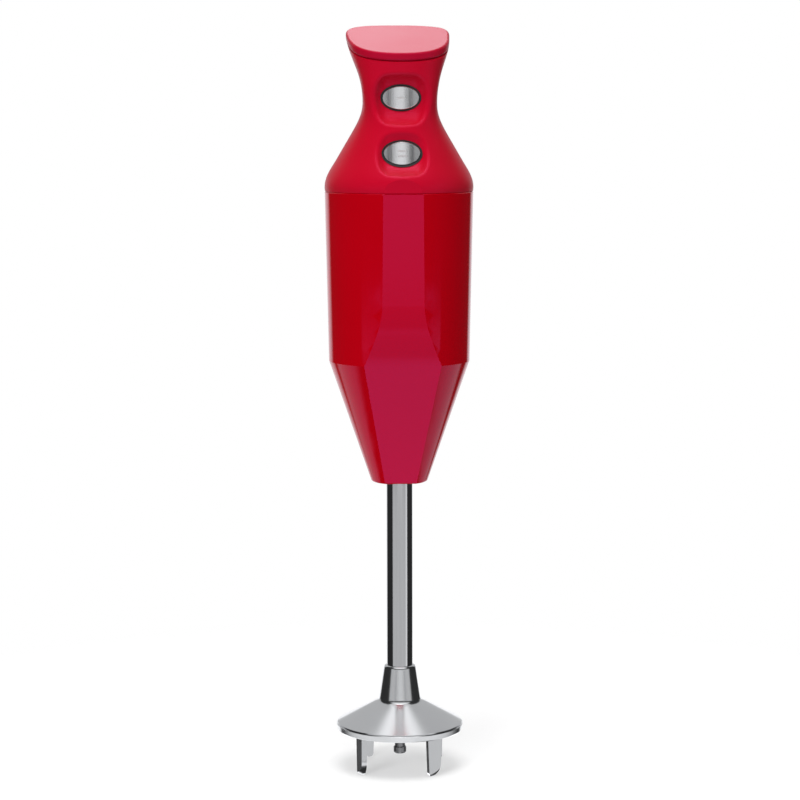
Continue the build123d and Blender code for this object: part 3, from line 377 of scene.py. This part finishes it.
def handle_red(start, where):
    grain = start.noise(where, 2600.0, detail=4.0, roughness=0.6)
    cloud = start.noise(where, 30.0)
    return {
        "Base Color": cloud.tint((0.400, 0.000, 0.009), (0.435, 0.000, 0.013)),
        "Roughness": 0.34 + 0.06 * cloud + 0.05 * grain,
        "Normal": start.bump(grain, 0.00004, 0.5),
    }


def cap_red(start, where):
    grain = start.noise(where, 3200.0, detail=4.0, roughness=0.6)
    cloud = start.noise(where, 36.0)
    return {
        "Base Color": cloud.tint((0.330, 0.000, 0.012), (0.360, 0.001, 0.017)),
        "Roughness": 0.30 + 0.06 * cloud + 0.06 * grain,
        "Normal": start.bump(grain, 0.00005, 0.6),
    }


RED_GLOSS = {"IOR": 1.52, "Specular Tint": (1.0, 0.15, 0.72, 1.0)}
RED_SATIN = {"IOR": 1.50, "Specular Tint": (1.0, 0.22, 0.60, 1.0)}
print("red plastics: housing, handle, cap")

# %% [markdown]
# The tube is drawn steel, polished to a mirror, and the guard is a polished casting with faint
# turning marks. Real grooves would cost a great many faces for something finer than a hair. The
# marks are noise instead, read at a point's distance from the axis, so that they run in rings.


# %% Tube and guard
METAL = {"Metallic": 1.0}


def tube_steel(start, where):
    draw = axial(where, 900.0)
    smear = start.noise(where, 60.0)
    return {
        "Base Color": draw.tint((0.60, 0.60, 0.61), (0.68, 0.68, 0.69)),
        "Roughness": 0.045 + 0.05 * smear + 0.03 * draw,
        "Normal": start.bump(draw, 0.000004, 0.4),
    }


def guard_aluminium(start, where):
    across, depth, up = where.parts()
    radius = start.math("SQRT", across * across + depth * depth)
    rings = start.node("ShaderNodeCombineXYZ", None, {"X": radius, "Z": up})
    turning = start.noise(rings, 2400.0, detail=2.0)
    cloud = start.noise(where, 70.0)
    return {
        "Base Color": cloud.tint((0.78, 0.785, 0.80), (0.86, 0.865, 0.875)),
        "Roughness": 0.12 + 0.05 * cloud + 0.05 * turning,
        "Normal": start.bump(turning, 0.000006, 0.5),
    }


print("bright metals: tube, guard")

# %% [markdown]
# The buttons are metal, brushed up and down, and each one has plain raised bars. The bars are
# painted near white as a painted highlight, where the raised bars catch the light, and are made
# rough. The bars could be pieces of their own, but they are part of the button, so the finish has
# to find them. They are the only faces within a fraction of a millimetre of a button's foremost
# point.


# %% Buttons
MARK_DEPTH = 0.00019
MARK_BLUR = 0.00003
BETWEEN_BUTTONS = 0.295
BUTTON_BLUR = 0.0001


def bar_mask(depth, node):
    """1 on the raised bars of a button and 0 behind them."""
    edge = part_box(node)[0].y + MARK_DEPTH
    return depth.ramp(edge + MARK_BLUR, edge - MARK_BLUR)


def button_metal(start, where):
    depth, up = where.parts()[1:]
    upper = up.ramp(BETWEEN_BUTTONS - BUTTON_BLUR, BETWEEN_BUTTONS + BUTTON_BLUR)
    upper_highlight_bars = upper * bar_mask(depth, "button_speed_1")
    lower_highlight_bars = (1.0 - upper) * bar_mask(depth, "button_speed_2")
    brush = axial(where, 3800.0)
    cloud = start.noise(where, 150.0)
    # The bars get a painted highlight: they are mixed towards near white, over the brushed tone.
    highlight_bars = upper_highlight_bars + lower_highlight_bars
    brush_and_highlight = 0.45 * brush * (1.0 - highlight_bars) + highlight_bars
    return {
        "Base Color": brush_and_highlight.tint((0.61, 0.61, 0.62), (0.97, 0.97, 0.97)),
        "Roughness": 0.13 + 0.08 * brush + 0.03 * cloud + 0.40 * highlight_bars,
        "Normal": start.bump(brush, 0.00002, 0.6),
    }


# %% [markdown]
# The drive shaft is bare steel, dark and a little stained by wet work. Stains could be painted
# one by one, but they need no special places here, so one coarse noise gives the stains and a
# fine one gives the drawn grain.


# %% Drive shaft
def drive_steel(start, where):
    fine = axial(where, 2600.0)
    stain = start.noise(where, 420.0)
    return {
        "Base Color": stain.tint((0.20, 0.20, 0.205), (0.40, 0.40, 0.41)),
        "Roughness": 0.24 + 0.16 * stain,
        "Normal": start.bump(fine, 0.00001, 0.6),
    }


print("drive shaft steel is ready")

# %% [markdown]
# The inner parts share a few families of finish: soft rubber, moulded plastic, and machined or
# plated metal. Each part could have a shader of its own, but most of them would be the same
# formula in another colour, so one maker for each family takes the colour.


# %% Families of finish
def rubber(low, high):
    def build(start, where):
        skin = start.noise(where, 1500.0, detail=4.0)
        return {
            "Base Color": skin.tint(low, high),
            "Roughness": 0.55 + 0.2 * skin,
            "Normal": start.bump(skin, 0.00004, 0.6),
        }

    return build


def moulded(low, high, roughness):
    def build(start, where):
        grain = start.noise(where, 1800.0, detail=3.0)
        cloud = start.noise(where, 90.0)
        return {
            "Base Color": cloud.tint(low, high),
            "Roughness": roughness + 0.1 * grain,
            "Normal": start.bump(grain, 0.00003, 0.5),
        }

    return build


def machined(low, high, roughness, scale=1400.0):
    def build(start, where):
        marks = start.noise(where.scaled((1.0, 1.0, 6.0)), scale, detail=2.0)
        cloud = start.noise(where, 120.0)
        return {
            "Base Color": cloud.tint(low, high),
            "Roughness": roughness + 0.12 * marks,
            "Normal": start.bump(marks, 0.00001, 0.6),
        }

    return build


print("families: rubber, moulded, machined")

# %% [markdown]
# The motor's core is a stack of thin steel sheets, and its coils are varnished copper wire. The
# commutator is bare copper, polished in rings by the brushes, and the circuit board has tracks
# under green varnish. Every sheet, wire and track could be modelled, but that would cost a great
# many faces inside a closed housing, so they are patterns in the colour, the gloss and the bump.

# %% Motor and board
SHEETS_PER_METRE = 2000.0


def laminated(start, where):
    up = where.parts()[2]
    sheets = start.math("FRACT", up * SHEETS_PER_METRE)
    gap = sheets.ramp(0.16, 0.02)
    rust = start.noise(where, 240.0)
    return {
        "Base Color": (rust * 0.7).tint((0.17, 0.17, 0.18), (0.24, 0.21, 0.19)),
        "Roughness": 0.42 + 0.3 * gap,
        "Normal": start.bump(1.0 - gap, 0.00006, 0.8),
    }


def enamelled_wire(start, where):
    wires = start.node(
        "ShaderNodeTexWave",
        {"bands_direction": "X", "wave_type": "BANDS"},
        {"Vector": where, "Scale": 620.0, "Distortion": 1.2, "Detail": 1.0},
        output="Fac",
    )
    tone = start.noise(where, 300.0)
    return {
        "Base Color": tone.tint((0.38, 0.12, 0.035), (0.58, 0.22, 0.07)),
        "Roughness": 0.22 + 0.15 * wires,
        "Normal": start.bump(wires, 0.0002, 0.9),
    }


def circuit_board(start, where):
    tracks = start.noise(where.scaled((1.0, 0.0, 1.0)), 340.0, detail=0.0).ramp(0.50, 0.54)
    return {
        "Base Color": tracks.tint((0.010, 0.085, 0.030), (0.025, 0.17, 0.06)),
        "Roughness": 0.22 + 0.1 * tracks,
        "Normal": start.bump(tracks, 0.00004, 0.8),
    }


def commutator_copper(start, where):
    polish = start.noise(where.scaled((1.0, 1.0, 9.0)), 700.0)
    return {
        "Base Color": polish.tint((0.50, 0.22, 0.10), (0.72, 0.36, 0.20)),
        "Roughness": 0.18 + 0.2 * polish,
        "Normal": start.bump(polish, 0.00002, 0.6),
    }


print("motor finishes: sheets, wire, commutator, board")

# %% [markdown]
# The model's record already names a finish for every part, so the parts needn't be listed again.
# The table below pairs each finish name with its maker, and a loop fills every part's slot.
# Nothing on the object keeps the plain colour that it came with.

# %% Give every part its finish
finishes = {
    "housing_red": (RED_GLOSS, housing_red),
    "handle_red": (RED_SATIN, handle_red),
    "cap_red": (RED_SATIN, cap_red),
    "tube_steel": (METAL, tube_steel),
    "guard_aluminium": (METAL, guard_aluminium),
    "button_metal": (METAL, button_metal),
    "drive_steel": (METAL, drive_steel),
    "button_seal": ({}, rubber((0.010, 0.010, 0.011), (0.022, 0.022, 0.024))),
    "seal_rubber": ({}, rubber((0.012, 0.012, 0.012), (0.030, 0.030, 0.030))),
    "coupling_rubber": ({}, rubber((0.030, 0.030, 0.032), (0.055, 0.055, 0.058))),
    "gland_black": ({}, moulded((0.014, 0.014, 0.015), (0.026, 0.026, 0.027), 0.42)),
    "inner_plastic": ({}, moulded((0.62, 0.60, 0.54), (0.70, 0.68, 0.62), 0.40)),
    "coupling_plastic": ({}, moulded((0.66, 0.66, 0.62), (0.74, 0.74, 0.70), 0.34)),
    "switch_plastic": ({}, moulded((0.030, 0.031, 0.034), (0.050, 0.051, 0.055), 0.36)),
    "plunger_plastic": ({}, moulded((0.50, 0.035, 0.025), (0.60, 0.050, 0.035), 0.30)),
    "capacitor_plastic": ({}, moulded((0.60, 0.40, 0.035), (0.68, 0.47, 0.055), 0.24)),
    "diode_plastic": ({}, moulded((0.018, 0.018, 0.019), (0.030, 0.030, 0.031), 0.28)),
    "brush_plastic": ({}, moulded((0.050, 0.042, 0.034), (0.080, 0.066, 0.052), 0.46)),
    "carbon": ({}, rubber((0.030, 0.030, 0.031), (0.060, 0.060, 0.062))),
    "bronze": (METAL, machined((0.48, 0.31, 0.14), (0.60, 0.41, 0.20), 0.34)),
    "steel": (METAL, machined((0.44, 0.44, 0.45), (0.56, 0.56, 0.57), 0.24)),
    "screw_steel": (METAL, machined((0.52, 0.52, 0.50), (0.64, 0.64, 0.61), 0.26)),
    "spring_steel": (METAL, machined((0.46, 0.46, 0.47), (0.58, 0.58, 0.59), 0.20)),
    "bearing_steel": (METAL, machined((0.52, 0.52, 0.53), (0.64, 0.64, 0.65), 0.14)),
    "bracket_alloy": (METAL, machined((0.46, 0.47, 0.48), (0.56, 0.57, 0.58), 0.40, 500.0)),
    "commutator_copper": (METAL, commutator_copper),
    "copper_wire": ({"Coat Weight": 0.6}, enamelled_wire),
    "lamination": ({"Metallic": 0.9}, laminated),
    "board": ({}, circuit_board),
}
made = {name: finish(name, constants, varying) for name, (constants, varying) in finishes.items()}
for node, part in frame["nodes"].items():
    part.data.materials.clear()
    part.data.materials.append(made[slot_of_node[node]])
print("finishes:", len(made))

# %% [markdown]
# ## Springs
# The model blocks each spring out as a hollow cylinder. A real one is round wire wound at an even
# pitch, with its last turns closed up so that it stands flat. A bevelled curve could draw it, but
# building the faces directly gives clean ends and a known count: the wire's centre line is a
# helix, and a small ring of points is carried along it.

# %% Wind the springs
WIRE_SIDES = 10
STEPS_PER_TURN = 28
CLOSED_SHARE = 0.16
CLOSED_CLIMB = 0.12


def wound(share):
    """How far along the spring the wire has climbed, with both ends closed up."""
    steady = min(max((share - CLOSED_SHARE) / (1.0 - 2.0 * CLOSED_SHARE), 0.0), 1.0)
    return CLOSED_CLIMB * share + (1.0 - CLOSED_CLIMB) * steady


def spring(name, node, body, axis, turns, wire_radius):
    """A wound spring that fills the box of a plain one, along axis 0 (X) or 1 (Y)."""
    low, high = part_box(node)
    middle = (low + high) / 2
    length = high[axis] - low[axis] - 2.0 * wire_radius
    coil_radius = (high[2] - low[2]) / 2 - wire_radius
    along = Vector((1.0, 0.0, 0.0)) if axis == 0 else Vector((0.0, 1.0, 0.0))
    side = Vector((0.0, 1.0, 0.0)) if axis == 0 else Vector((1.0, 0.0, 0.0))
    start = middle - along * (length / 2)
    steps = round(turns * STEPS_PER_TURN)
    form = bmesh.new()
    rings = []
    for step in range(steps + 1):
        share = step / steps
        angle = 2.0 * math.pi * turns * share
        outward = side * math.cos(angle) + Vector((0.0, 0.0, 1.0)) * math.sin(angle)
        centre = start + along * (length * wound(share)) + outward * coil_radius
        ring = []
        for corner in range(WIRE_SIDES):
            twist = 2.0 * math.pi * corner / WIRE_SIDES
            offset = outward * math.cos(twist) + along * math.sin(twist)
            ring.append(form.verts.new(centre + offset * wire_radius))
        rings.append(ring)
    for near, far in zip(rings, rings[1:]):
        for corner in range(WIRE_SIDES):
            after = (corner + 1) % WIRE_SIDES
            form.faces.new((near[corner], near[after], far[after], far[corner]))
    form.faces.new(rings[0])
    form.faces.new(reversed(rings[-1]))
    bmesh.ops.recalc_face_normals(form, faces=form.faces[:])
    mesh = bpy.data.meshes.new(name)
    form.to_mesh(mesh)
    form.free()
    mesh.shade_smooth()
    mesh.materials.append(made["spring_steel"])
    piece = bpy.data.objects.new(name, mesh)
    bpy.context.collection.objects.link(piece)
    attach(piece, body)
    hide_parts(node)
    return piece


BUTTON_TURNS = 5.5
BUTTON_WIRE_R = 0.00032
BRUSH_TURNS = 8.0
BRUSH_WIRE_R = 0.00022

for number in (1, 2):
    node = f"spring_speed_{number}"
    coil = spring(f"button_spring_{number}", node, "blender", 1, BUTTON_TURNS, BUTTON_WIRE_R)
    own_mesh(coil)
for side in ("left", "right"):
    spring(f"brush_coil_{side}", f"brush_spring_{side}", "blender", 0, BRUSH_TURNS, BRUSH_WIRE_R)
print("springs wound")

# %% [markdown]
# ## Size
# The imported model sets the size of the object, so nothing added here may reach past it. Looking
# at the picture wouldn't show a millimetre.

# %% End of the scene
print("scene is built")
